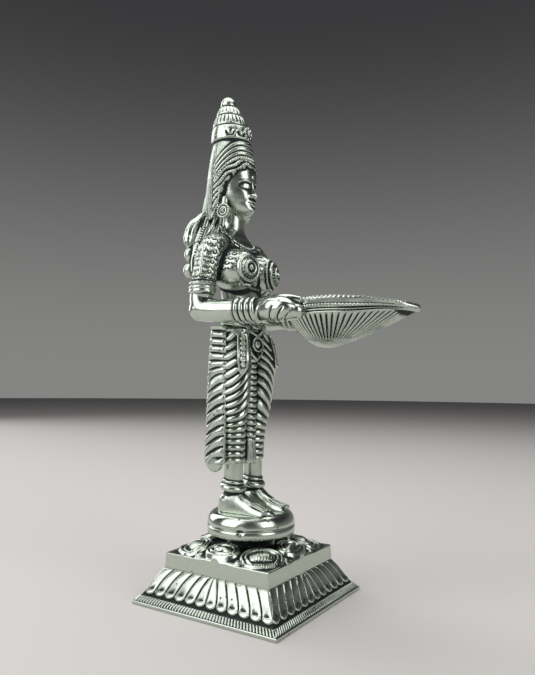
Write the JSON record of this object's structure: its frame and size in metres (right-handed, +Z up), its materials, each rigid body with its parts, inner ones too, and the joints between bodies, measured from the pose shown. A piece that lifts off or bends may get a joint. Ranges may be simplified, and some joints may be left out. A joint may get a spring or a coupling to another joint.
{
  "type": "oil lamp figure",
  "caption": "Standing cast-metal lamp bearer holding a leaf-shaped oil bowl in both hands, on a round foot disc that turns on a square lotus pedestal.",
  "frame": {"origin": "middle of the pedestal's underside, on the surface that the lamp stands on", "axes": "+Z up along the stud's axis; -Y the way the figure faces and the bowl's spout points; +X the figure's left"},
  "size_m": [0.064, 0.1016, 0.2049],
  "materials": {
    "oxidised_silver": "polished white-metal casting with dark patina in its recesses",
    "fastener_steel": "plain turned steel"
  },
  "bodies": {
    "base": {"base_pedestal": "oxidised_silver"},
    "figure": {"foot_disc": "oxidised_silver", "figure_body": "oxidised_silver", "right_forearm": "oxidised_silver", "left_forearm": "oxidised_silver", "lamp_bowl": "oxidised_silver", "fixing_stud": "fastener_steel", "stud_washer": "fastener_steel", "stud_nut": "fastener_steel"}
  },
  "joints": [
    {"name": "figure_turn", "type": "hinge", "parent": "base", "child": "figure", "pos_m": [0, 0, 0.0245], "axis": [0, 0, 1], "continuous": true}
  ]
}
